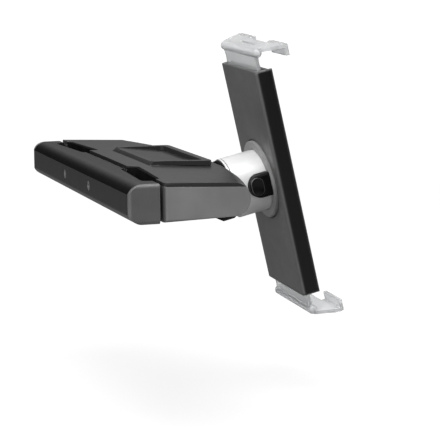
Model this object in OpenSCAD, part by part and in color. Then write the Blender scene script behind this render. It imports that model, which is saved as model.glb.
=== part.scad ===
// Headrest tablet mount: a bar and a body clamp two headrest posts, a quick-release lever
// draws them together, a tilting tube carries a turning holder, and two geared jaws hold the tablet.
// X runs from the bar towards the tablet, Y along the bar, Z up. The origin is in the middle of the
// clamp gap, half way between the two posts.

/* [Clamp] */
// Length of the bar and the body
clamp_len = 250; // [230:1:270]
// Gap between the bar and the body with the lever closed
clamp_gap = 2.2; // [1.6:0.1:3]
// Depth of the bar from its back to the gap
bar_depth = 18.3; // [16:0.1:21]
// Height of the bar at the gap
bar_h = 23; // [20:0.5:25]
// Height of the flat back of the bar
bar_back_h = 12; // [11:0.2:14]
// Depth over which the top of the bar curves over
bar_round = 8.5; // [7:0.5:9]
// Thickness of the bar's end caps
cap_t = 3; // [2:0.5:4]
// Distance of a post slot's middle from the end of the bar
slot_inset = 47; // [44:1:50]
// Width of the slot for a post
slot_w = 8.2; // [7.5:0.1:10]
// Length of the slot for a post
slot_len = 60; // [50:1:64]
// Angle of the slot to the bar
slot_slant = 3.7; // [2:0.1:5]
// Thickness of the rubber in the slots
pad_t = 1.5; // [1:0.1:2]

/* [Body] */
// Distance of the nose from the clamp gap
nose_x = 70.5; // [66:0.5:76]
// Radius of the bowed front edge in plan
bow_r = 455; // [400:5:520]
// Radius of the rounded nose
nose_r = 9.8; // [9.5:0.1:11]
// Height of the nose's middle
nose_z = 0.4; // [0:0.1:0.8]
// Height of the deck above the middle at the clamp gap
deck_z = 13; // [12:0.2:14]
// Depth of the floor below the middle at the clamp gap
floor_z = 11.4; // [11:0.1:12.5]
// Wall thickness of the lower housing
wall = 2.4; // [2:0.1:2.8]
// Thickness of the deck cover
cover_t = 2.4; // [2:0.1:2.8]
// Rounding of the ends of the body
end_round = 2.4; // [1:0.2:3]

/* [Lever] */
// Front end of the lever flap
flap_front = 55; // [52:0.5:57]
// Half width of the flap at its back edge
flap_back_w = 42.8; // [41:0.2:44.5]
// Half width of the flap at its front edge
flap_front_w = 48; // [45:0.5:50]
// Distance of the lever's pivot from the clamp gap
pivot_x = 27; // [26.5:0.1:27.5]
// Height of the lever's pivot
pivot_z = 2.5; // [2:0.1:3]
// Radius of the flap's back edge round the pivot
flap_r = 14.6; // [14:0.1:15]
// How far the lever opens, in degrees
lever_open = 70; // [60:1:72]
// Travel of the bar for each radian of the lever
cam_rise = 6; // [5:0.1:6.2]
// Radius of the lever's pins
lever_pin_r = 2.5; // [2:0.1:3]
// Radius of the two guide rods
rod_r = 3; // [2.5:0.1:3.3]
// Half the distance between the guide rods
rod_y = 31; // [29:0.5:32]

/* [Tilting tube] */
// Distance of the tilt axis from the clamp gap
tilt_x = 64.8; // [63:0.1:66]
// Height of the tilt axis
tilt_z = -14.4; // [-15.5:0.1:-14]
// Tilt of the tube in the photograph, in degrees
tube_tilt = 13.2; // [5:0.1:20]
// Distance from the tilt axis to the holder's back
tube_reach = 40; // [39:0.5:43]
// Outer radius of the tube
tube_r = 20; // [19:0.1:20.5]
// Wall thickness of the tube
tube_wall = 2.4; // [2:0.1:2.8]
// Radius of the tilt bolt
bolt_r = 4; // [3:0.1:5]
// Radius of the hinge ears and knuckle
knuckle_r = 10.5; // [9.5:0.1:11]
// Travel of the release button
button_travel = 2; // [1.8:0.1:2.2]

/* [Holder] */
// Turn of the holder on the tube in the photograph, in degrees
holder_turn = 2; // [-5:1:5]
// Width of the holder
holder_w = 67; // [65:0.5:72]
// Length of the holder
holder_len = 148; // [140:1:156]
// Depth of the holder
holder_depth = 11.3; // [11:0.1:12.5]
// Wall thickness of the holder
holder_wall = 2.4; // [2:0.1:2.5]
// Outer radius of the lock ring
ring_r = 25.6; // [25:0.1:27]
// Distance that the lock ring stands out of the holder
ring_proud = 2; // [1:0.1:3]

/* [Jaws] */
// Opening between the jaws for the tablet
jaw_open = 171.6; // [168:0.2:176]
// Width of a jaw where it slides in the holder
jaw_w = 58; // [54:0.5:60]
// Thickness of the jaws
jaw_t = 2.3; // [2:0.1:2.5]
// Width of a jaw across its hooks
hook_w = 84; // [78:1:90]
// Thickness of the tablet that the hooks hold
tablet_t = 7.4; // [6:0.1:9]
// Number of teeth on the pinion
pinion_teeth = 16; // [16:2:18]
// Module of the pinion and the racks
gear_module = 1.25; // [1.2:0.05:1.3]

/* [Fits] */
// Radial clearance of a shaft that turns or slides in its bore
run_fit = 0.05; // [0.02:0.01:0.1]
// Radial clearance of a part that is fixed in its bore
fixed_fit = 0.02; // [0.01:0.01:0.05]
// Clearance between parts that move past each other
gap = 0.4; // [0.3:0.05:0.5]

/* [Hidden] */

near = -1;
far = 1;
over = 30;

black = [0.10, 0.10, 0.11];
deck_grey = [0.27, 0.27, 0.28];
holder_grey = [0.30, 0.30, 0.31];
rubber = [0.05, 0.05, 0.05];
silver = [0.86, 0.87, 0.88];
steel = [0.62, 0.63, 0.65];
ring_grey = [0.52, 0.52, 0.53];
clear = [0.86, 0.88, 0.88, 0.75];

bar_x = -clamp_gap / 2;
body_x = clamp_gap / 2;
bow_x = nose_x - bow_r;
nose_c = bow_r - nose_r;
rear_r = body_x - bow_x;
slot_x = 0.3;
post_y = clamp_len / 2 - slot_inset;
rear_wall = 3;

// Height of the deck, and depth of the floor, at a radius from the middle of the bow
function slope(r, at_rear, at_nose) = at_rear + (at_nose - at_rear) * (r - rear_r) / (nose_c - rear_r);
function deck(r) = slope(r, deck_z, nose_r + nose_z);
function under(r) = slope(r, floor_z, nose_r - nose_z);
function deck_at(x) = deck(x - bow_x);

module block(x, y, z) {
    translate([x[0], y[0], z[0]])
        cube([x[1] - x[0], y[1] - y[0], z[1] - z[0]]);
}

module rod_x(r, x0, x1, fn = 48) {
    translate([x0, 0, 0])
        rotate([0, 90, 0]) cylinder(r = r, h = x1 - x0, $fn = fn);
}

module rod_y(r, y0, y1, fn = 48) {
    translate([0, y1, 0])
        rotate([90, 0, 0]) cylinder(r = r, h = y1 - y0, $fn = fn);
}

// A profile drawn in X and Z, extruded from y0 to y1
module side_plate(y0, y1) {
    translate([0, y1, 0])
        rotate([90, 0, 0]) linear_extrude(y1 - y0) children();
}

module both_sides() {
    children();
    mirror([0, 1, 0]) children();
}

module rounded(w, l, r, fn = 32) {
    square([w - 2 * r, l], center = true);
    square([w, l - 2 * r], center = true);
    for (sx = [-1, 1], sy = [-1, 1])
        translate([sx * (w / 2 - r), sy * (l / 2 - r)]) circle(r = r, $fn = fn);
}

// A wire coiled round the X axis from x0 to x1, one closed tube
module coil(r, wire_r, turns, x0, x1) {
    sides = 6;
    steps = 14;
    n = turns * steps;
    rise = (x1 - x0 - 2 * wire_r) / n;
    points = [for (i = [0 : n], j = [0 : sides - 1])
        let (a = 360 * i / steps, b = 360 * j / sides, q = r + wire_r * cos(b))
        [x0 + wire_r + i * rise + wire_r * sin(b), q * cos(a), q * sin(a)]];
    skin = [for (i = [0 : n - 1], j = [0 : sides - 1])
        let (k = (j + 1) % sides)
        [i * sides + j, i * sides + k, (i + 1) * sides + k, (i + 1) * sides + j]];
    ends = [[for (j = [sides - 1 : -1 : 0]) j], [for (j = [0 : sides - 1]) n * sides + j]];
    polyhedron(points, concat(skin, ends), convexity = 8);
}

// Post slots, cut into both the bar and the body

module post_slot(side, grow) {
    translate([slot_x, side * post_y])
        rotate(side * slot_slant) rounded(slot_w + 2 * grow, slot_len + 2 * grow, 3 + grow);
}

module post_slots(grow, z0, z1) {
    translate([0, 0, z0])
        linear_extrude(z1 - z0)
            for (side = [near, far]) post_slot(side, grow);
}

module slot_pad(side, x0, x1, z0, z1) {
    color(rubber)
        translate([0, 0, z0])
            linear_extrude(z1 - z0)
                intersection() {
                    difference() {
                        post_slot(side, pad_t);
                        post_slot(side, 0);
                    }
                    translate([x0, -clamp_len / 2]) square([x1 - x0, clamp_len]);
                }
}

// Body: a bowed wing with a rounded nose, split into a lower housing and a deck cover

module wing_profile(t) {
    start = rear_r - over;
    polygon([[start, t - under(start)], [nose_c, t - under(nose_c)],
        [nose_c, deck(nose_c) - t], [start, deck(start) - t]]);
    translate([nose_c, nose_z]) circle(r = nose_r - t, $fn = 64);
}

// The wing, smaller by t all round and with its rear face at x0
module wing(t, x0) {
    intersection() {
        translate([bow_x, 0, 0])
            rotate([0, 0, -24]) rotate_extrude(angle = 48, $fn = 720) wing_profile(t);
        rotate([90, 0, 90])
            linear_extrude(nose_x + over)
                translate([0, (deck_z - floor_z) / 2])
                    rounded(clamp_len - 2 * t, deck_z + floor_z - 2 * t, end_round);
        translate([x0 + nose_x / 2 + over, 0, -over])
            linear_extrude(2 * over) rounded(nose_x + 2 * over, clamp_len - 2 * t, end_round);
    }
}

module under_seam(lift) {
    translate([bow_x, 0, 0])
        rotate([0, 0, -26]) rotate_extrude(angle = 52, $fn = 720) {
            start = rear_r - over;
            polygon([[start, -over], [bow_r + over, -over],
                [bow_r + over, deck(bow_r + over) - cover_t + lift],
                [start, deck(start) - cover_t + lift]]);
        }
}

screw_spots = [[14, clamp_len / 2 - 13], [42, clamp_len / 2 - 19], [50, clamp_len / 4]];
boss_r = 3.4;
boss_split = 5;
shell_screw_len = 16;
head_deep = 3;
shell_hole_top = 9;
bracket_screw_len = 4.2;
screw_r = 1.5;
head_r = 2.9;
head_t = 1.8;
hex_r = 1.3;
hex_deep = 1;

module at_screws() {
    both_sides() for (p = screw_spots) translate([p[0], p[1], 0]) children();
}

yoke_front = 40.6;
yoke_t = 3.5;
yoke_z = -7;
yoke_plate_t = 2.2;
yoke_plate_top = 4.8;
upstand_top = 4.6;
rod_land = 5;
window_x = [6, 4];
window_y = 23;
yoke_w = 41.5;
ear_in = 35.4;
ear_top = 9.3;
spring_y = 27.5;
spring_r = 4.2;
spring_wire = 0.55;
spring_peg_r = 3.2;
spring_peg = 3;
rib_x = 54;
rib_t = 2.4;
rib_y = [24, 35.5];
rib_top = 6;
arm_y = [36, 41];
arm_hub_r = 5.2;
boss_y = [42.4, 48.4];
pin_boss_r = 5.2;
pin_foot = 3;
pin_stop = 1.5;
bracket_y = 24;
bracket_x = [38, 57];
bracket_top = -9.7;
bracket_t = 3.5;
ear_y = [17, 23];
ear_root = [48, 52];
bolt_room_y = 29;
bolt_end = 5;
bolt_head = [2.6, 4];
nut_grow = 3.4;
nut_t = 4;
bracket_grow = 2;
knuckle_w = 15.6;
neck_h = 9;
core_back = 12.4;
core_flange = 14.45;
core_chin = 6.5;

bracket_screw_x = [42, 51];
bracket_screw_y = 12;

module at_bracket_screws() {
    for (x = bracket_screw_x, side = [near, far]) translate([x, side * bracket_screw_y, 0]) children();
}

module ear_outline(grow) {
    hull() {
        translate([tilt_x, tilt_z]) circle(r = knuckle_r + grow, $fn = 48);
        translate([ear_root[0], bracket_top - bracket_t])
            square([ear_root[1] - ear_root[0], bracket_t + grow]);
    }
}

// Room in the nose for the hinge, over the whole tilt
module hinge_room() {
    translate([tilt_x, 0, tilt_z]) {
        rod_y(norm([core_back, neck_h]) + 1.5, -knuckle_w - gap, knuckle_w + gap, 64);
        rod_y(bolt_r + nut_grow + 0.8, -bolt_room_y, bolt_room_y);
    }
    both_sides() side_plate(ear_y[0] - gap - 1, ear_y[1] + gap) ear_outline(gap);
}

module base_shell() {
    color(deck_grey)
        difference() {
            union() {
                difference() {
                    intersection() {
                        wing(0, body_x);
                        under_seam(-0.05);
                    }
                    wing(wall, body_x + rear_wall);
                }
                intersection() {
                    wing(wall / 2, body_x);
                    under_seam(-0.2);
                    union() {
                        post_slots(pad_t + wall, -over, over);
                        both_sides() {
                            block([rib_x, rib_x + rib_t], rib_y, [-over, rib_top]);
                            translate([pivot_x, 0, pivot_z]) rod_y(pin_boss_r, boss_y[0], boss_y[1]);
                            block([pivot_x - pin_foot, pivot_x + pin_foot], boss_y, [-over, pivot_z]);
                        }
                        block([bracket_x[0] - bracket_grow, bracket_x[1] + bracket_grow],
                            [-bracket_y - bracket_grow, bracket_y + bracket_grow],
                            [-over, bracket_top + wall]);
                    }
                }
                intersection() {
                    wing(wall / 2, body_x);
                    at_screws()
                        translate([0, 0, -over]) cylinder(r = boss_r, h = over + boss_split, $fn = 32);
                }
            }
            post_slots(pad_t, -over, over);
            block([body_x - 1, body_x], [-over - clamp_len, over + clamp_len], [-over, over]);
            for (side = [near, far])
                translate([0, side * rod_y, 0]) rod_x(rod_r + run_fit, 0, body_x + rear_wall + 1);
            both_sides()
                translate([pivot_x, 0, pivot_z])
                    rod_y(lever_pin_r + fixed_fit, boss_y[0] - 1, boss_y[1] - pin_stop);
            at_screws() {
                translate([0, 0, -over]) cylinder(r = screw_r + run_fit, h = over * 2, $fn = 32);
                translate([0, 0, -over]) cylinder(r = head_r + 0.1, h = over - floor_z + head_deep, $fn = 32);
            }
            block([bracket_x[0] - 0.3, over * 3], [-bracket_y - 0.3, bracket_y + 0.3], [-over, bracket_top]);
            hinge_room();
            at_bracket_screws()
                translate([0, 0, -over]) cylinder(r = screw_r, h = over + bracket_top + wall + 1, $fn = 32);
        }
}

module flap_plan(grow) {
    offset(r = 3) offset(delta = grow - 3)
        polygon([[pivot_x - flap_r - 2, -flap_back_w], [flap_front, -flap_front_w],
            [flap_front, flap_front_w], [pivot_x - flap_r - 2, flap_back_w]]);
}

well_front = 51.4;
well_y = 41.6;
flap_side_gap = 3;

module deck_cover() {
    color(deck_grey)
        difference() {
            union() {
                difference() {
                    wing(0, body_x);
                    under_seam(0);
                    wing_inside();
                }
                intersection() {
                    wing(wall / 2, body_x);
                    at_screws()
                        translate([0, 0, boss_split + 0.05])
                            cylinder(r = boss_r - gap, h = over, $fn = 32);
                }
            }
            post_slots(pad_t, -over, over);
            block([body_x - 1, body_x], [-over - clamp_len, over + clamp_len], [-over, over]);
            block([pivot_x - 4, well_front], [-well_y, well_y], [-over, over]);
            translate([pivot_x, 0, pivot_z])
                rod_y(flap_r + gap, -flap_back_w - flap_side_gap, flap_back_w + flap_side_gap, 96);
            at_screws() translate([0, 0, -over]) cylinder(r = screw_r, h = over + shell_hole_top, $fn = 32);
            hinge_room();
        }
}

// The hollow of the wing below the deck plate
module wing_inside() {
    intersection() {
        wing(wall, body_x + rear_wall);
        under_seam(0);
    }
}

body_pad_top = 11.9;
body_pad_low = -10.6;
bar_pad_h = 21.4;

module body_pad(side) {
    slot_pad(side, body_x, over, body_pad_low, body_pad_top);
}

module bar_pad(side) {
    slot_pad(side, -over, bar_x, -bar_pad_h / 2, bar_pad_h / 2);
}

module screw(shank) {
    cylinder(r = screw_r - 0.05, h = shank, $fn = 24);
    difference() {
        translate([0, 0, -head_t]) cylinder(r = head_r, h = head_t, $fn = 32);
        translate([0, 0, -head_t - 1]) cylinder(r = hex_r, h = hex_deep + 1, $fn = 6);
    }
}

module shell_screws() {
    color(steel)
        at_screws() translate([0, 0, head_deep - floor_z]) screw(shell_screw_len);
}

module lever_pins() {
    color(steel)
        both_sides()
            translate([pivot_x, 0, pivot_z]) rod_y(lever_pin_r, arm_y[0] - 0.5, boss_y[1] - pin_stop - 0.1);
}

// Clamp bar and what moves with it

bar_half = bar_h / 2;
bar_drop = bar_half - bar_back_h / 2;
bar_arc = (bar_round * bar_round + bar_drop * bar_drop) / (2 * bar_drop);
bar_back = bar_x - bar_depth;

module bar_profile() {
    for (m = [0, 1]) mirror([0, m]) {
        translate([bar_back + bar_round, 0]) square([bar_depth - bar_round, bar_half]);
        translate([bar_back, 0]) square([bar_round, bar_back_h / 2 - 1]);
        intersection() {
            translate([bar_back + bar_round, bar_half - bar_arc]) circle(r = bar_arc, $fn = 96);
            translate([bar_back, 0]) square([bar_round, bar_half]);
        }
    }
}

socket_x = -13;
hollow_y = 40;
hollow_x = [-16.4, -9.2];
hollow_z = 7.5;
bar_head_r = 3;
bar_head_deep = 1.2;
cap_tongue = 4;

// The whole bar with its end caps, its ends rounded in plan and from the back
module bar_form() {
    intersection() {
        side_plate(-clamp_len / 2, clamp_len / 2) bar_profile();
        translate([bar_back + bar_depth, 0, -over])
            linear_extrude(2 * over) rounded(2 * bar_depth, clamp_len, end_round);
        rotate([90, 0, 90])
            translate([0, 0, -over]) linear_extrude(2 * over) rounded(clamp_len, bar_h + 0.2, end_round);
    }
}

module clamp_bar() {
    color(black)
        difference() {
            intersection() {
                bar_form();
                block([-over, over], [cap_t - clamp_len / 2, clamp_len / 2 - cap_t], [-over, over]);
            }
            post_slots(pad_t, -over, over);
            both_sides() block(hollow_x, [hollow_y, clamp_len], [-hollow_z, hollow_z]);
            for (side = [near, far])
                translate([0, side * rod_y, 0]) {
                    rod_x(rod_r + fixed_fit, socket_x, over);
                    rod_x(screw_r + 0.1, bar_back - 1, over);
                    rod_x(bar_head_r + 0.15, bar_back - 1, bar_back + bar_head_deep);
                }
        }
}

module bar_cap(side) {
    color(black)
        mirror([0, side < 0 ? 1 : 0, 0])
            union() {
                intersection() {
                    bar_form();
                    block([-over, over], [clamp_len / 2 - cap_t + 0.05, clamp_len], [-over, over]);
                }
                block([hollow_x[0] + 0.1, hollow_x[1] - 0.1],
                    [clamp_len / 2 - cap_t - cap_tongue, clamp_len / 2 - 1],
                    [0.1 - hollow_z, hollow_z - 0.1]);
            }
}

module bar_screws() {
    color(steel)
        for (side = [near, far])
            translate([0, side * rod_y, 0]) {
                difference() {
                    rod_x(bar_head_r, bar_back + 0.1, bar_back + bar_head_deep);
                    rod_x(hex_r, bar_back - 1, bar_back + 0.7, 6);
                }
                rod_x(screw_r - 0.05, bar_back + 1, socket_x + 4, 24);
            }
}

rod_end = 15.3;

module guide_rods() {
    color(steel)
        for (side = [near, far])
            translate([0, side * rod_y, 0])
                difference() {
                    rod_x(rod_r, socket_x, rod_end);
                    rod_x(screw_r, socket_x - 1, socket_x + 6, 24);
                }
}

module draw_yoke() {
    upstand = rod_end - yoke_t;
    color(black)
        difference() {
            union() {
                block([upstand, yoke_front + yoke_t], [-yoke_w, yoke_w], [yoke_z, yoke_z + yoke_plate_t]);
                block([yoke_front, yoke_front + yoke_t], [-yoke_w, yoke_w], [yoke_z, yoke_plate_top]);
                both_sides() {
                    block([yoke_front, yoke_front + yoke_t], [ear_in, yoke_w], [yoke_z, ear_top]);
                    block([upstand, rod_end], [rod_y - rod_land, rod_y + rod_land], [yoke_z, upstand_top]);
                    translate([0, spring_y, 0])
                        rod_x(spring_peg_r, yoke_front, yoke_front + yoke_t + spring_peg);
                }
            }
            block([upstand + window_x[0], yoke_front - window_x[1]], [-window_y, window_y], [-over, over]);
            for (side = [near, far])
                translate([0, side * rod_y, 0]) rod_x(rod_r + fixed_fit, 0, rod_end + 1);
        }
}

module clamp_spring(side) {
    color(steel)
        translate([0, side * spring_y, 0])
            coil(spring_r, spring_wire, 6, yoke_front + yoke_t + 0.1, rib_x - 0.1);
}

// Lever: a flap with a finger pocket on two cam arms. The cam is the involute of a circle of
// radius cam_rise, so the flat ear of the yoke follows it in proportion to the lever's angle.

flap_top_back = 14.6;
flap_top_front = 13.8;
flap_lift = 0.25;
pocket_x = [20.5, 50.3];
pocket_rim = 4.6;
pocket_floor = [14.1, 10.7];
panel_t = 1.8;
tail_x = 6;
drum_y = [41.8, 42.6];
drum_t = 2;
cam_steps = 12;
cam_extra = 4;
cam_reach = yoke_front - 0.2 - pivot_x;

function cam_point(phi) = let (h = cam_reach + cam_rise * phi * PI / 180)
    [h * cos(phi) - cam_rise * sin(phi), h * sin(phi) + cam_rise * cos(phi)];

module flap_side() {
    low = deck_at(pivot_x) + flap_lift;
    polygon([[pivot_x, low], [flap_front + 5, deck_at(flap_front + 5) + flap_lift],
        [flap_front + 5, flap_top_front], [pivot_x, flap_top_back]]);
    intersection() {
        translate([pivot_x, pivot_z]) circle(r = flap_r, $fn = 128);
        translate([pivot_x - flap_r, low]) square([flap_r, flap_top_back - low]);
    }
}

// Fills the opening of the deck beside the flap's back corners
module drum_side(rise) {
    intersection() {
        translate([pivot_x, pivot_z]) circle(r = flap_r, $fn = 128);
        polygon([for (x = [pivot_x - flap_r, pivot_x + flap_r]) [x, deck_at(x) - drum_t],
            for (x = [pivot_x + flap_r, pivot_x - flap_r]) [x, deck_at(x) + rise]]);
    }
}

module clamp_lever() {
    color(deck_grey)
        difference() {
            union() {
                intersection() {
                    side_plate(-flap_front_w - 5, flap_front_w + 5) flap_side();
                    translate([0, 0, -over]) linear_extrude(2 * over) flap_plan(0);
                }
                side_plate(-well_y + gap, well_y - gap)
                    polygon([[pivot_x - tail_x, pocket_floor[0]], [well_front - gap, pocket_floor[1] + 1],
                        [well_front - gap, pocket_floor[1] - panel_t],
                        [pivot_x, pocket_floor[0] - panel_t], [pivot_x - tail_x, pocket_floor[0] - panel_t]]);
                both_sides() {
                    side_plate(drum_y[0], flap_back_w + flap_side_gap - gap) drum_side(0);
                    side_plate(drum_y[0], drum_y[1]) drum_side(flap_lift + 0.1);
                    side_plate(arm_y[0], arm_y[1])
                        translate([pivot_x, pivot_z]) {
                            circle(r = arm_hub_r, $fn = 64);
                            polygon(concat([[0, 0]],
                                [for (i = [0 : cam_steps])
                                    cam_point((lever_open + cam_extra) * (i / cam_steps - 1))],
                                [[cam_reach - 1, pocket_floor[1] - pivot_z],
                                [2, pocket_floor[0] - 1 - pivot_z],
                                [-arm_hub_r, pocket_floor[0] - 1 - pivot_z], [-arm_hub_r, 0]]));
                        }
                }
            }
            intersection() {
                side_plate(-flap_front_w, flap_front_w)
                    polygon([[0, pocket_floor[0]], [pocket_x[0], pocket_floor[0]],
                        [pocket_x[1], pocket_floor[1]], [pocket_x[1], over], [0, over]]);
                translate([0, 0, -over]) linear_extrude(3 * over) flap_plan(-pocket_rim);
            }
            translate([pivot_x, 0, pivot_z]) rod_y(lever_pin_r + run_fit, -over * 2, over * 2);
        }
}

// Hinge between the body and the tube

washer_t = 0.9;

module hinge_bracket() {
    color(black)
        difference() {
            union() {
                block(bracket_x, [-bracket_y, bracket_y], [bracket_top - bracket_t, bracket_top]);
                both_sides() side_plate(ear_y[0], ear_y[1]) ear_outline(0);
            }
            translate([tilt_x, 0, tilt_z]) rod_y(knuckle_r + 1, -ear_y[0], ear_y[0], 64);
            translate([tilt_x, 0, tilt_z]) rod_y(bolt_r + fixed_fit, -over, over);
            block([ear_root[0] - 5, over * 3], [-ear_y[0], ear_y[0]], [-over, bracket_top - bracket_t]);
            at_bracket_screws()
                translate([0, 0, -over]) {
                    cylinder(r = screw_r + 0.1, h = over, $fn = 32);
                    cylinder(r = head_r + 0.1, h = over + bracket_top - bracket_t + head_t, $fn = 32);
                }
        }
}

module bracket_screws() {
    color(steel)
        at_bracket_screws()
            translate([0, 0, bracket_top - bracket_t + head_t]) screw(bracket_screw_len);
}

module tilt_bolt() {
    color(steel)
        translate([tilt_x, 0, tilt_z]) {
            rod_y(bolt_r, -ear_y[1] - 0.5, ear_y[1] + bolt_end);
            difference() {
                rod_y(bolt_r + bolt_head[0], -ear_y[1] - bolt_head[1], -ear_y[1]);
                rod_y(bolt_r - 1.6, -over, -ear_y[1] - bolt_head[1] + 2.4, 6);
            }
        }
}

module tilt_nut() {
    color(steel)
        translate([tilt_x, 0, tilt_z])
            difference() {
                rod_y(bolt_r + nut_grow, ear_y[1], ear_y[1] + nut_t, 6);
                rod_y(bolt_r + fixed_fit, 0, over);
            }
}

module friction_washers() {
    color(silver)
        translate([tilt_x, 0, tilt_z])
            both_sides()
                difference() {
                    rod_y(knuckle_r - 1, ear_y[0] - washer_t, ear_y[0], 64);
                    rod_y(bolt_r + run_fit, 0, over);
                }
}

// Tube: everything below is drawn along X from the tilt axis, and turned to its place

module at_tube() {
    translate([tilt_x, 0, tilt_z]) rotate([0, -tube_tilt, 0]) children();
}

module at_holder() {
    at_tube() translate([tube_reach, 0, 0]) rotate([holder_turn, 0, 0]) children();
}

sleeve_start = 16.3;
sleeve_end = tube_reach + 0.2;
trim_gap = 0.5;
spigot_end = 22;
shaft_r = 8;
shaft_end = tube_reach - 3;
relief_z = -16.4;
relief_x = 18.8;
hub_at = 25;
latch_r = 16.15;
bore_r = tube_r - tube_wall;

module hinge_core() {
    color(black)
        at_tube()
            difference() {
                union() {
                    intersection() {
                        side_plate(-knuckle_w, knuckle_w)
                            hull() {
                                circle(r = knuckle_r, $fn = 48);
                                translate([core_chin + 2, -tube_r + 2.6]) circle(r = 2, $fn = 24);
                                translate([core_back - 2, neck_h - 2]) square(2);
                                translate([core_back - 2, -tube_r]) square(2);
                            }
                        rod_x(tube_r - 0.6, -over, over, 96);
                    }
                    rod_x(tube_r - 0.6, core_back, core_flange, 96);
                    rod_x(bore_r - 0.1, core_back, spigot_end, 96);
                    rod_x(shaft_r, core_back, shaft_end);
                }
                rod_y(bolt_r + run_fit, -over, over);
            }
}

module sleeve_relief() {
    block([0, relief_x], [-tube_r, tube_r], [-tube_r - 1, relief_z]);
}

module trim_ring() {
    color(silver)
        at_tube()
            difference() {
                rod_x(tube_r, core_flange + 0.05, sleeve_start - trim_gap, 96);
                rod_x(bore_r, 0, over * 2, 96);
                sleeve_relief();
            }
}

// Outline of the release block in X and Z: flat at the holder, round at the body
button_x = tube_reach - 11.4;
button_up = 0.8;
block_up = 0.4;
block_end = tube_reach - ring_proud - 0.3;
block_h = 14.9;
block_len = 14.1;
block_in = 17.8;
block_out = 25.4;

module block_outline(grow) {
    r = block_h / 2;
    intersection() {
        union() {
            translate([block_end - block_len + r, block_up]) circle(r = r + grow, $fn = 64);
            translate([block_end - block_len + r, block_up - r - grow])
                square([block_len, block_h + 2 * grow]);
        }
        translate([0, -over]) square([block_end + grow, 2 * over]);
    }
}

module tube_sleeve() {
    color(silver)
        at_tube()
            difference() {
                rod_x(tube_r, sleeve_start, sleeve_end, 96);
                rod_x(bore_r, 0, over * 2, 96);
                side_plate(-over, -10) block_outline(0.1);
                sleeve_relief();
            }
}

stem_r = 2.2;
button_w = 8.2;
button_h = 11.6;
dish_r = 24;
block_floor = 19.4;
head_back = 22.6;
button_out = 25.6;

// The button is higher than it is wide, with round ends
module button_outline(grow) {
    r = button_w / 2 + grow;
    for (side = [-1, 1])
        translate([button_x, button_up + side * (button_h - button_w) / 2]) circle(r = r, $fn = 48);
    translate([button_x - r, button_up - (button_h - button_w) / 2])
        square([2 * r, button_h - button_w]);
}

module release_block() {
    color(black)
        at_tube()
            difference() {
                union() {
                    side_plate(-block_out + 1.2, -block_in) block_outline(0);
                    hull() {
                        side_plate(-block_out + 1.2, -block_out + 1.3) block_outline(0);
                        side_plate(-block_out, -block_out + 1.3) block_outline(-1);
                    }
                }
                side_plate(-over, -block_floor) button_outline(0.1);
                side_plate(-over, -block_out + 0.7) button_outline(0.9);
                translate([button_x, 0, button_up]) rod_y(stem_r + run_fit, -over, 0);
            }
}

module release_button() {
    color(black)
        at_tube()
            difference() {
                union() {
                    side_plate(-button_out, -head_back) button_outline(0);
                    translate([button_x, 0, button_up]) rod_y(stem_r, -head_back - 0.1, -latch_edge);
                }
                translate([button_x, -button_out - dish_r + 0.7, button_up]) sphere(r = dish_r, $fn = 64);
            }
}

module button_spring() {
    color(steel)
        at_tube()
            translate([button_x, -head_back + 0.05, button_up])
                rotate([0, 0, 90]) coil(3.2, 0.3, 3, 0, head_back - block_floor - 0.1);
}

hub_r = 13;
groove_r = 11.1;
latch_t = 2;
latch_hole = hub_r + 0.4;
latch_off = 2;
latch_edge = 17.25;

module latch_plate() {
    color(steel)
        at_tube()
            difference() {
                translate([0, -1.1, 0]) rod_x(latch_r, button_x - latch_t / 2, button_x + latch_t / 2, 96);
                translate([0, -latch_off, 0]) rod_x(latch_hole, 0, over * 2, 96);
            }
}

// Holder: drawn with its back at X = 0, and the tablet's side towards +X

hub_start = hub_at - tube_reach;
seat_x = holder_wall;
hub_flange_r = 28.5;
hub_flange_t = 1.6;
post_r = 4;
rail_x = 4.4;
plate_x = 3.2;
ring_edge = 0.5;

module holder_hub() {
    color(black)
        at_holder()
            difference() {
                union() {
                    rod_x(hub_r, hub_start, sleeve_end - tube_reach + 1, 96);
                    rod_x(tube_r + 0.2, sleeve_end - tube_reach + 0.6, seat_x, 96);
                    rod_x(hub_flange_r, seat_x, seat_x + hub_flange_t, 96);
                    rod_x(post_r, seat_x, holder_depth - holder_wall - 0.2);
                }
                rod_x(shaft_r + run_fit, hub_start - 1, shaft_end - tube_reach + 0.6);
                translate([button_x - tube_reach, 0, 0])
                    difference() {
                        rod_x(over, -latch_t / 2 - 0.3, latch_t / 2 + 0.3);
                        rod_x(groove_r, -latch_t, latch_t, 96);
                    }
            }
}

module lock_ring() {
    color(ring_grey)
        at_holder()
            rotate([0, 90, 0])
                rotate_extrude($fn = 128)
                    polygon([[tube_r + gap, -ring_proud], [ring_r - ring_edge, -ring_proud],
                        [ring_r, ring_edge - ring_proud], [ring_r, seat_x], [tube_r + gap, seat_x]]);
}

inner_w = holder_w - 2 * holder_wall;
post_spot = [24, 35];
rail_gap = 0.3;
holder_screw_len = 6;

module holder_section() {
    r = 3;
    for (m = [0, 1]) mirror([0, m]) {
        translate([r, 0]) square([holder_depth - r, holder_w / 2]);
        square([r, holder_w / 2 - r]);
        translate([r, holder_w / 2 - r]) circle(r = r, $fn = 48);
    }
}

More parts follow.
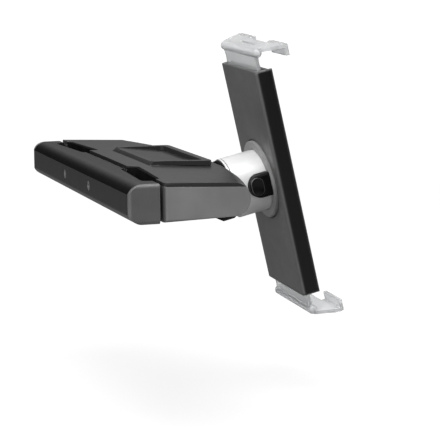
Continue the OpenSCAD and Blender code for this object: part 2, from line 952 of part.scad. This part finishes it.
module holder_shell() {
    rail_in = jaw_w / 2 + rail_gap;
    color(holder_grey)
        at_holder()
            difference() {
                union() {
                    difference() {
                        translate([0, 0, -holder_len / 2]) linear_extrude(holder_len) holder_section();
                        block([holder_wall, over], [-inner_w / 2, inner_w / 2], [-holder_len, holder_len]);
                    }
                    both_sides() {
                        block([holder_wall - 0.5, plate_x - 0.2], [rail_in - 3, inner_w / 2 + 0.5],
                            [-holder_len / 2, holder_len / 2]);
                        block([holder_wall - 0.5, holder_depth - holder_wall - 0.1],
                            [rail_in, inner_w / 2 + 0.5],
                            [-holder_len / 2, holder_len / 2]);
                    }
                    for (sy = [near, far], sz = [-1, 1])
                        translate([0, sy * post_spot[0], sz * post_spot[1]])
                            rod_x(3, holder_wall - 0.5, holder_depth - holder_wall - 0.1);
                }
                rod_x(ring_r + gap, -1, holder_wall + 1, 128);
                rod_x(hub_flange_r + 0.3, holder_wall, over, 96);
                for (sy = [near, far], sz = [-1, 1])
                    translate([0, sy * post_spot[0], sz * post_spot[1]])
                        rod_x(screw_r, holder_wall - 1, over);
            }
}

module holder_front() {
    w = inner_w - 0.3;
    color(holder_grey)
        at_holder()
            difference() {
                block([holder_depth - holder_wall, holder_depth], [-w / 2, w / 2],
                    [1 - holder_len / 2, holder_len / 2 - 1]);
                for (sy = [near, far], sz = [-1, 1])
                    translate([0, sy * post_spot[0], sz * post_spot[1]]) {
                        rod_x(screw_r + 0.1, 0, over);
                        rod_x(head_r + 0.1, holder_depth - head_t, over);
                    }
            }
}

module holder_screws() {
    color(steel)
        at_holder()
            for (sy = [near, far], sz = [-1, 1])
                translate([holder_depth - head_t, sy * post_spot[0], sz * post_spot[1]])
                    rotate([0, -90, 0]) screw(holder_screw_len);
}

front_pad_t = 0.7;
front_pad_at = [19, 57];
front_pad_size = [18, 26];

module front_pads() {
    color(rubber)
        at_holder()
            for (sy = [near, far], sz = [-1, 1])
                translate([holder_depth, sy * front_pad_at[0], sz * front_pad_at[1]])
                    rotate([90, 0, 90])
                        linear_extrude(front_pad_t) rounded(front_pad_size[0], front_pad_size[1], 3);
}

// Pinion and racks: involute teeth on the pinion, straight flanks on the racks

pitch_r = gear_module * pinion_teeth / 2;
pressure = 20;
addendum = 0.9 * gear_module;
dedendum = 1.15 * gear_module;
backlash = 0.16;
base_r = pitch_r * cos(pressure);

function involute(a) = (tan(a) - a * PI / 180) * 180 / PI;
function flank_angle(r) = let (a = r <= base_r ? 0 : acos(base_r / r))
    90 / pinion_teeth - backlash / pitch_r * 45 / PI + involute(pressure) - involute(a);
function polar(r, a) = [r * cos(a), r * sin(a)];

module pinion_shape() {
    root = pitch_r - dedendum;
    tip = pitch_r + addendum;
    radii = concat([root - 0.5], [for (i = [0 : 5]) base_r + (tip - base_r) * i / 5]);
    circle(r = root, $fn = 64);
    for (i = [0 : pinion_teeth - 1])
        rotate(360 * i / pinion_teeth)
            polygon(concat([for (r = radii) polar(r, -flank_angle(r))],
                [for (k = [len(radii) - 1 : -1 : 0]) polar(radii[k], flank_angle(radii[k]))]));
}

module rack_tooth() {
    half = PI * gear_module / 4 - backlash / 4;
    top = half - addendum * tan(pressure);
    foot = half + dedendum * tan(pressure);
    polygon([[pitch_r + dedendum, -foot], [pitch_r - addendum, -top],
        [pitch_r - addendum, top], [pitch_r + dedendum, foot]]);
}

module sync_pinion() {
    color(silver)
        at_holder()
            difference() {
                translate([rail_x, 0, 0])
                    rotate([90, 0, 90]) linear_extrude(jaw_t) pinion_shape();
                rod_x(post_r + run_fit, 0, over);
            }
}

// Jaw: a sliding plate with a rack, a rounded lip, a shelf over the tablet's edge and two hooks

plate_low = 50;
leg = [-31, 58];
leg_w = 6.6;
tooth_pitch = PI * gear_module;
rack_teeth = [-9, 4];
shelf_z = jaw_open / 2;
front_x = holder_depth + front_pad_t + tablet_t;
lip_x = 1.9;
lip_r = 2.9;
lip_w = 33.6;
gusset_low = 5.8;
hook_in = 16;
hook_drop = 5;
hook_slope = 3.5;
hook_round = 2.4;
hook_rise = 0.4;
slot_spot = [9.2, 11.3];
slot_half = 14.5;

module shelf_plan() {
    start = lip_x + lip_r;
    h = hook_w / 2;
    difference() {
        polygon([[start, -lip_w + 1], [front_x - hook_slope, -h], [front_x + jaw_t, -h],
            [front_x + jaw_t, h], [front_x - hook_slope, h], [start, lip_w - 1]]);
        translate([front_x - hook_slope + 1, -hook_in]) square([over, 2 * hook_in]);
        translate([slot_spot[0], -slot_half]) square([slot_spot[1] - slot_spot[0], 2 * slot_half]);
    }
}

// The hook's section, behind the tablet's front and over its edge
module hook_side() {
    translate([front_x, shelf_z - hook_drop]) square([jaw_t, hook_drop + 1]);
    intersection() {
        translate([front_x, shelf_z + jaw_t + hook_rise - hook_round]) circle(r = hook_round, $fn = 48);
        translate([front_x - hook_round, shelf_z]) square(2 * hook_round);
    }
}

module lip() {
    translate([lip_x + lip_r, 0, shelf_z + jaw_t - lip_r]) {
        rod_y(lip_r, lip_r - lip_w, lip_w - lip_r);
        both_sides() translate([0, lip_w - lip_r, 0]) sphere(r = lip_r, $fn = 48);
    }
}

module jaw_part() {
    // Rack leg beside the pinion
    translate([rail_x, 0, 0])
        rotate([90, 0, 90]) linear_extrude(jaw_t) {
            translate([pitch_r + dedendum, leg[0]]) square([leg_w, leg[1] - leg[0]]);
            intersection() {
                for (i = [rack_teeth[0] : rack_teeth[1]])
                    translate([0, (i + 0.5) * tooth_pitch]) rack_tooth();
                translate([0, leg[0]]) square([over, leg[1] - leg[0]]);
            }
        }
    // Plate in the holder, a little wider below the lip
    translate([plate_x, 0, 0])
        rotate([90, 0, 90]) linear_extrude(jaw_t)
            for (side = [0, 1]) mirror([side, 0])
                polygon([[-1, plate_low], [jaw_w / 2, plate_low], [jaw_w / 2, shelf_z - gusset_low],
                    [lip_w - lip_r, shelf_z - 1], [-1, shelf_z - 1]]);
    lip();
    translate([0, 0, shelf_z]) linear_extrude(jaw_t) shelf_plan();
    both_sides() side_plate(hook_in, hook_w / 2) hook_side();
}

module jaw_top() {
    color(clear) at_holder() jaw_part();
}

module jaw_bottom() {
    color(clear) at_holder() rotate([180, 0, 0]) jaw_part();
}

base_shell();
deck_cover();
body_pad(near);  // body_pad_near
body_pad(far);  // body_pad_far
shell_screws();
lever_pins();
hinge_bracket();
bracket_screws();
tilt_bolt();
tilt_nut();
friction_washers();
clamp_spring(near);  // clamp_spring_near
clamp_spring(far);  // clamp_spring_far
clamp_bar();
bar_cap(near);  // bar_cap_near
bar_cap(far);  // bar_cap_far
bar_pad(near);  // bar_pad_near
bar_pad(far);  // bar_pad_far
bar_screws();
guide_rods();
draw_yoke();
clamp_lever();
hinge_core();
tube_sleeve();
trim_ring();
release_block();
release_button();
latch_plate();
button_spring();
holder_hub();
lock_ring();
holder_shell();
holder_front();
front_pads();
holder_screws();
sync_pinion();
jaw_top();
jaw_bottom();
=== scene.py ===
"""Looks of the headrest tablet mount: materials, floor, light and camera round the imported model."""
import math

import bpy
from mathutils import Matrix, Vector


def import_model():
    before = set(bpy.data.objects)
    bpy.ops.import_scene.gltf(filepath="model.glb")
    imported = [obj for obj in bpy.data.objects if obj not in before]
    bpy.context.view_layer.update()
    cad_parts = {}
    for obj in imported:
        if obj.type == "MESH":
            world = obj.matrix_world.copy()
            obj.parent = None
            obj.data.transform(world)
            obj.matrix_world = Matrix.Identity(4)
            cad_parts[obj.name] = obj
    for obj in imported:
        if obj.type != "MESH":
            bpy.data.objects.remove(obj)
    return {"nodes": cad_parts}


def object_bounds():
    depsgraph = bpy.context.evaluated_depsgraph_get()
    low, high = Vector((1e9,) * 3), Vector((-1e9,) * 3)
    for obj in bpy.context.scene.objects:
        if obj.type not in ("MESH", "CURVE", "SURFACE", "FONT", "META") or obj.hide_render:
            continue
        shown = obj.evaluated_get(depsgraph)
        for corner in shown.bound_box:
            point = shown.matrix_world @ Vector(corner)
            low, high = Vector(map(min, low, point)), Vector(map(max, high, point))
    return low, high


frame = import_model()
cad_low, cad_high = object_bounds()
nodes = frame["nodes"]

MM = 0.001

# Camera, fitted to the photograph: place in millimetres, turn in degrees, focal length in pixels
CAMERA_MM = (-280.89, -1091.57, 142.91)
CAMERA_AZIMUTH = -18.0588
CAMERA_ELEVATION = 8.6051
CAMERA_ROLL = -0.5407
FOCAL_PX = 1801.68
PHOTO_PX = 440
SENSOR_MM = 36.0
CLIP_M = (0.05, 100)

# Floor, below the lowest point that the turning holder reaches
FLOOR_Z = -0.145
FLOOR_HALF_WIDTH = 30.0
FLOOR_ALBEDO = 0.26
# Its glow to the camera, near the part and far from it, and the distances between which it rises
FLOOR_GLOW = (0.80, 0.95)
FLOOR_GLOW_AT = (0.4, 2.5)

# Strength of the world to each kind of ray
WORLD_SEEN = 1.0
WORLD_THROUGH_PLASTIC = 0.9

# Softboxes: place, side of the square in metres, power in watts
SOFTBOXES = {
    "top_softbox": ((-0.15, -0.45, 1.3), 1.0, 20),
    "left_softbox": ((-1.4, -0.3, 0.5), 0.9, 1.2),
    "front_softbox": ((-0.9, -1.2, 0.5), 0.8, 5.7),
}

# Dark and light end of a noise, between which its values are spread
NOISE_RANGE = (0.3, 0.7)
# Dot product of the soft and the true normal: open face, and edge
EDGE_DOT = (0.985, 0.85)
# Size of the normal along an axis: looks across it, and looks along it
FACING_RANGE = (0.75, 0.97)
# Sockets of the Mix node, which have no unique names
MIX_FLOATS = (2, 3)
MIX_COLOURS = (6, 7)
MIX_COLOUR_OUT = 2


def srgb(grey, warm=0.0):
    """Linear colour of a grey given as 0 to 255 in the photograph, a little warmer or cooler."""
    c = grey / 255
    lin = c / 12.92 if c <= 0.04045 else ((c + 0.055) / 1.055) ** 2.4
    return (lin * (1 + warm), lin, lin * (1 - warm), 1.0)


def map_range(tree, value, span, to=(0.0, 1.0), smooth=False):
    """The value, mapped from the ends of span to the ends of to, and held there beyond them."""
    m = tree.nodes.new("ShaderNodeMapRange")
    if smooth:
        m.interpolation_type = "SMOOTHSTEP"
    for socket, number in zip(("From Min", "From Max", "To Min", "To Max"), (*span, *to)):
        m.inputs[socket].default_value = number
    tree.links.new(value, m.inputs["Value"])
    return m.outputs["Result"]


def calculate(tree, operation, *values):
    m = tree.nodes.new("ShaderNodeMath")
    m.operation = operation
    for value, socket in zip(values, m.inputs):
        tree.links.new(value, socket)
    return m.outputs[0]


class Material:
    """A node material with a Principled shader, and short calls for the nodes that repeat."""

    def __init__(self, name):
        self.mat = bpy.data.materials.new(name)
        self.mat.use_nodes = True
        self.tree = self.mat.node_tree
        self.tree.nodes.clear()
        self.out = self.tree.nodes.new("ShaderNodeOutputMaterial")
        self.bsdf = self.tree.nodes.new("ShaderNodeBsdfPrincipled")
        self.link(self.bsdf.outputs["BSDF"], self.out.inputs["Surface"])
        self.coord = self.tree.nodes.new("ShaderNodeTexCoord")

    def link(self, a, b):
        self.tree.links.new(a, b)

    def node(self, kind, **settings):
        n = self.tree.nodes.new(kind)
        for key, value in settings.items():
            setattr(n, key, value)
        return n

    def set(self, **sockets):
        for key, value in sockets.items():
            self.bsdf.inputs[key.replace("_", " ")].default_value = value

    def colour(self, output):
        self.link(output, self.bsdf.inputs["Base Color"])

    def roughness(self, noise, low, high):
        self.link(map_range(self.tree, noise, NOISE_RANGE, (low, high)), self.bsdf.inputs["Roughness"])

    def noise(self, scale, detail=3.0, stretch=(1, 1, 1), roughness=0.5):
        mapping = self.node("ShaderNodeMapping")
        mapping.inputs["Scale"].default_value = stretch
        self.link(self.coord.outputs["Object"], mapping.inputs["Vector"])
        n = self.node("ShaderNodeTexNoise")
        n.inputs["Scale"].default_value = scale
        n.inputs["Detail"].default_value = detail
        n.inputs["Roughness"].default_value = roughness
        self.link(mapping.outputs["Vector"], n.inputs["Vector"])
        return n.outputs["Fac"]

    def ramp(self, value, *stops):
        """Colour ramp over the value, from (position, colour) stops."""
        r = self.node("ShaderNodeValToRGB")
        while len(r.color_ramp.elements) < len(stops):
            r.color_ramp.elements.new(0.5)
        for e, (at, colour) in zip(r.color_ramp.elements, stops):
            e.position, e.color = at, colour
        self.link(value, r.inputs["Fac"])
        return r.outputs["Color"]

    def mix(self, factor, a, b):
        n = self.node("ShaderNodeMix", data_type="RGBA")
        self.link(factor, n.inputs["Factor"])
        for source, socket in zip((a, b), MIX_COLOURS):
            self.link(source, n.inputs[socket])
        return n.outputs[MIX_COLOUR_OUT]

    def soft_edge(self, radius):
        """Normal that turns softly over an edge, within this radius of it."""
        bevel = self.node("ShaderNodeBevel", samples=8)
        bevel.inputs["Radius"].default_value = radius
        self.soft = bevel.outputs["Normal"]

    def at_edges(self):
        """0 on open faces, rising to 1 along the edges that the soft normal rounds."""
        true = self.node("ShaderNodeNewGeometry")
        dot = self.node("ShaderNodeVectorMath", operation="DOT_PRODUCT")
        self.link(self.soft, dot.inputs[0])
        self.link(true.outputs["Normal"], dot.inputs[1])
        return map_range(self.tree, dot.outputs["Value"], EDGE_DOT)

    def facing(self, axis):
        """0 on faces that look across the axis, rising to 1 on faces that look along it."""
        turned = self.node("ShaderNodeVectorTransform", vector_type="NORMAL",
                           convert_from="WORLD", convert_to="OBJECT")
        self.link(self.soft, turned.inputs[0])
        parts = self.node("ShaderNodeSeparateXYZ")
        self.link(turned.outputs[0], parts.inputs[0])
        size = calculate(self.tree, "ABSOLUTE", parts.outputs[axis])
        return map_range(self.tree, size, FACING_RANGE, smooth=True)

    def bump(self, *heights):
        """Chain of bumps over the soft edge, each (height output, distance in metres)."""
        normal = self.soft
        for height, distance in heights:
            b = self.node("ShaderNodeBump")
            b.inputs["Strength"].default_value = 1.0
            b.inputs["Distance"].default_value = distance
            self.link(height, b.inputs["Height"])
            self.link(normal, b.inputs["Normal"])
            normal = b.outputs["Normal"]
        self.link(normal, self.bsdf.inputs["Normal"])


def moulded(name, grey, rough, grain, grain_depth, edge=0.0004, side=None, specular=0.5, painted_edge_highlight=34):
    """Moulded plastic: fine spark-eroded grain, faint flow clouds, scuffs in the sheen, and edges
    lifted to a lighter grey as a painted highlight, mottled by noise. With side, faces that look along
    that axis have its grey, as painted light and shade."""
    m = Material(name)
    m.set(Specular_IOR_Level=specular)
    m.soft_edge(edge)
    clouds = m.noise(60, 3)

    def cloudy(tone):
        return m.ramp(clouds, (0.3, srgb(tone * 0.96)), (0.7, srgb(tone * 1.04)))

    colour = cloudy(grey)
    # Painted light and shade: faces that look along the axis get their own grey, lighter or darker by
    # the way the face turns.
    if side is not None:
        axis, painted_shading_grey = side
        colour = m.mix(m.facing(axis), colour, cloudy(painted_shading_grey))
        grey = max(grey, painted_shading_grey)
    # Painted highlight: the edges that the soft normal rounds are lifted to a lighter grey, mottled by
    # noise.
    if painted_edge_highlight:
        edge_highlight_colour = m.ramp(m.noise(500, 4), (0.3, srgb(grey)), (0.6, srgb(grey + painted_edge_highlight)))
        colour = m.mix(m.at_edges(), colour, edge_highlight_colour)
    m.colour(colour)
    m.roughness(m.noise(220, 5, roughness=0.6), rough - 0.02, rough + 0.03)
    m.bump((m.noise(grain, 2), grain_depth))
    return m.mat


def rubber(name, grey):
    """Soft rubber with dust in its grain."""
    m = Material(name)
    dust = m.noise(90, 5)
    m.colour(m.ramp(dust, (0.35, srgb(grey * 0.8)), (0.75, srgb(grey * 1.5, 0.03))))
    m.roughness(dust, 0.72, 0.9)
    m.set(Specular_IOR_Level=0.15)
    m.soft_edge(0.0003)
    m.bump((m.noise(1600, 3), 0.00005), (m.noise(420, 2), 0.00006))
    return m.mat


def silver(name):
    """Silver lacquer on plastic: fine metal flake under a clear coat."""
    m = Material(name)
    flake = m.noise(5200, 1)
    m.colour(m.ramp(flake, (0.35, srgb(232)), (0.5, srgb(240)), (0.68, srgb(248))))
    m.roughness(m.noise(60, 4), 0.28, 0.34)
    m.set(Metallic=0.1, Coat_Weight=0.25, Coat_Roughness=0.15)
    m.soft_edge(0.0003)
    m.bump((flake, 0.000006), (m.noise(900, 2), 0.000008))
    return m.mat


def steel(name, dark, light):
    """Plated steel: brushed along Y, with a mottled sheen."""
    m = Material(name)
    brush = m.noise(900, 4, (1, 0.06, 1), 0.6)
    m.colour(m.ramp(brush, (0.3, srgb(dark)), (0.7, srgb(light))))
    m.roughness(m.noise(300, 5), 0.26, 0.42)
    m.set(Metallic=1.0)
    m.soft_edge(0.0002)
    m.bump((brush, 0.00001))
    return m.mat


def milky(name):
    """Clear plastic gone milky: soft light through it, with a polished skin."""
    m = Material(name)
    cloud = m.noise(26, 3)
    m.colour(m.ramp(cloud, (0.3, srgb(246, -0.01)), (0.7, srgb(252, -0.01))))
    m.roughness(m.noise(120, 5), 0.16, 0.22)
    m.set(Transmission_Weight=0.6, IOR=1.45, Coat_Weight=0.3, Coat_Roughness=0.08)
    m.soft_edge(0.0005)
    m.bump((m.noise(700, 2), 0.000005))
    return m.mat


def nylon(name):
    """Natural nylon, a little warm, with soft light under its surface."""
    m = Material(name)
    cloud = m.noise(300, 4)
    m.colour(m.ramp(cloud, (0.3, srgb(196, 0.03)), (0.7, srgb(214, 0.04))))
    m.roughness(cloud, 0.35, 0.5)
    m.set(Subsurface_Weight=0.3, Subsurface_Scale=0.001)
    m.soft_edge(0.0002)
    m.bump((m.noise(2500, 2), 0.00001))
    return m.mat


# In these looks, the grey given with side is painted light and shade on the faces along that axis, and
# edges carry a painted highlight.
LOOKS = {
    "deck": moulded("deck_plastic_look", grey=50, rough=0.30, grain=2600, grain_depth=0.000005,
                    side=("Y", 46), specular=0.45),
    "cheek": moulded("cheek_plastic_look", grey=84, rough=0.40, grain=2200, grain_depth=0.00002,
                     side=("Y", 128), specular=0.4),
    "bar": moulded("bar_plastic_look", grey=22, rough=0.24, grain=2600, grain_depth=0.000012,
                   specular=0.22, painted_edge_highlight=4),
    "cap": moulded("cap_plastic_look", grey=112, rough=0.34, grain=2600, grain_depth=0.000012,
                   edge=0.0006, side=("Y", 94), specular=0.4),
    "holder": moulded("holder_plastic_look", grey=110, rough=0.36, grain=2400, grain_depth=0.000012,
                      edge=0.003, side=("Y", 5), specular=0.5, painted_edge_highlight=0),
    "black": moulded("black_plastic_look", grey=10, rough=0.50, grain=2600, grain_depth=0.00002,
                     specular=0.12),
    "button": moulded("button_plastic_look", grey=120, rough=0.24, grain=2600, grain_depth=0.000008,
                      edge=0.0012, side=("Y", 4), specular=0.4, painted_edge_highlight=0),
    "ring": moulded("ring_plastic_look", grey=154, rough=0.42, grain=2400, grain_depth=0.00002,
                    side=("X", 166)),
    "rubber": rubber("pad_rubber_look", grey=14),
    "silver": silver("silver_lacquer_look"),
    "steel": steel("zinc_steel_look", dark=150, light=186),
    "dark_steel": steel("blackened_steel_look", dark=180, light=220),
    "milky": milky("milky_plastic_look"),
    "nylon": nylon("nylon_look"),
}
WEARS = {
    "deck": ["deck_cover", "clamp_lever"],
    "cheek": ["base_shell"],
    "bar": ["clamp_bar"],
    "cap": ["bar_cap_near", "bar_cap_far"],
    "holder": ["holder_shell", "holder_front"],
    "black": ["draw_yoke", "hinge_bracket", "hinge_core", "release_block", "holder_hub"],
    "button": ["release_button"],
    "ring": ["lock_ring"],
    "rubber": ["body_pad_near", "body_pad_far", "bar_pad_near", "bar_pad_far", "front_pads"],
    "silver": ["tube_sleeve", "trim_ring"],
    "steel": ["shell_screws", "lever_pins", "bracket_screws", "tilt_bolt", "tilt_nut",
              "guide_rods", "latch_plate", "holder_screws", "clamp_spring_near", "clamp_spring_far",
              "button_spring"],
    "dark_steel": ["bar_screws"],
    "milky": ["jaw_top", "jaw_bottom"],
    "nylon": ["friction_washers", "sync_pinion"],
}
for look, names in WEARS.items():
    for name in names:
        mesh = nodes[name].data
        mesh.materials.clear()
        mesh.materials.append(LOOKS[look])


def floor():
    """Pale floor that keeps the part's shadow. It glows to the camera and through clear plastic."""
    mesh = bpy.data.meshes.new("floor")
    corners = [(x * FLOOR_HALF_WIDTH, y * FLOOR_HALF_WIDTH, FLOOR_Z)
               for x, y in ((-1, -1), (1, -1), (1, 1), (-1, 1))]
    mesh.from_pydata(corners, [], [(0, 1, 2, 3)])
    obj = bpy.data.objects.new("floor", mesh)
    bpy.context.scene.collection.objects.link(obj)
    m = Material("floor_look")
    m.set(Base_Color=(FLOOR_ALBEDO, FLOOR_ALBEDO, FLOOR_ALBEDO, 1), Roughness=0.7,
          Specular_IOR_Level=0.2)
    path = m.node("ShaderNodeLightPath")
    away = m.node("ShaderNodeVectorMath", operation="LENGTH")
    m.link(m.coord.outputs["Object"], away.inputs[0])
    white = map_range(m.tree, away.outputs["Value"], FLOOR_GLOW_AT, FLOOR_GLOW, smooth=True)
    seen = calculate(m.tree, "ADD", path.outputs["Is Camera Ray"], path.outputs["Is Transmission Ray"])
    glow = m.node("ShaderNodeEmission")
    m.link(calculate(m.tree, "MULTIPLY", seen, white), glow.inputs["Strength"])
    both = m.node("ShaderNodeAddShader")
    m.link(m.bsdf.outputs["BSDF"], both.inputs[0])
    m.link(glow.outputs["Emission"], both.inputs[1])
    m.link(both.outputs["Shader"], m.out.inputs["Surface"])
    mesh.materials.append(m.mat)


def world():
    """White to the camera. Soft light comes from all round, and reflections from above on the right."""
    w = bpy.data.worlds.new("studio")
    bpy.context.scene.world = w
    w.use_nodes = True
    tree = w.node_tree
    tree.nodes.clear()
    out = tree.nodes.new("ShaderNodeOutputWorld")
    path = tree.nodes.new("ShaderNodeLightPath")
    coord = tree.nodes.new("ShaderNodeTexCoord")
    parts = tree.nodes.new("ShaderNodeSeparateXYZ")
    tree.links.new(coord.outputs["Generated"], parts.inputs[0])

    def along(axis, span, to):
        return map_range(tree, parts.outputs[axis], span, to)

    def choose(ray, other, value):
        """The value for rays of this kind, and the other for the rest."""
        m = tree.nodes.new("ShaderNodeMix")
        tree.links.new(path.outputs[ray], m.inputs["Factor"])
        for source, socket in zip((other, value), MIX_FLOATS):
            if isinstance(source, float):
                m.inputs[socket].default_value = source
            else:
                tree.links.new(source, m.inputs[socket])
        return m.outputs[0]

    diffuse = along("Z", (0.0, 0.7), (0.46, 0.36))
    to_the_right = along("X", (-0.12, 0.26), (0.02, 0.55))
    upwards = along("Z", (0.08, 0.28), (0.1, 1.0))
    gloss = calculate(tree, "MULTIPLY", to_the_right, upwards)
    strength = choose("Is Glossy Ray", diffuse, gloss)
    strength = choose("Is Transmission Ray", strength, WORLD_THROUGH_PLASTIC)
    strength = choose("Is Camera Ray", strength, WORLD_SEEN)
    shader = tree.nodes.new("ShaderNodeBackground")
    shader.inputs["Color"].default_value = (1, 1, 1, 1)
    tree.links.new(strength, shader.inputs["Strength"])
    tree.links.new(shader.outputs["Background"], out.inputs["Surface"])


def softbox(name, place, target, side, power):
    light = bpy.data.lights.new(name, "AREA")
    light.shape = "RECTANGLE"
    light.size = light.size_y = side
    light.energy = power
    obj = bpy.data.objects.new(name, light)
    bpy.context.scene.collection.objects.link(obj)
    obj.location = place
    obj.rotation_euler = (Vector(target) - Vector(place)).to_track_quat("-Z", "Y").to_euler()


def camera():
    data = bpy.data.cameras.new("photo_camera")
    data.sensor_width = SENSOR_MM
    data.lens = FOCAL_PX / PHOTO_PX * SENSOR_MM
    data.clip_start, data.clip_end = CLIP_M
    obj = bpy.data.objects.new("photo_camera", data)
    bpy.context.scene.collection.objects.link(obj)
    a, e = math.radians(CAMERA_AZIMUTH), math.radians(CAMERA_ELEVATION)
    back = Vector((math.sin(a) * math.cos(e), -math.cos(a) * math.cos(e), math.sin(e)))
    right = Vector((math.cos(a), math.sin(a), 0))
    up = back.cross(right)
    level = Matrix((right, up, back)).transposed().to_4x4()
    roll = Matrix.Rotation(math.radians(CAMERA_ROLL), 4, "Z")
    obj.matrix_world = Matrix.Translation(Vector(CAMERA_MM) * MM) @ level @ roll
    bpy.context.scene.camera = obj


floor()
world()
middle = (cad_low + cad_high) / 2
for name, (place, side, power) in SOFTBOXES.items():
    softbox(name, place, middle, side, power)
camera()
bpy.context.scene.view_settings.view_transform = "Standard"
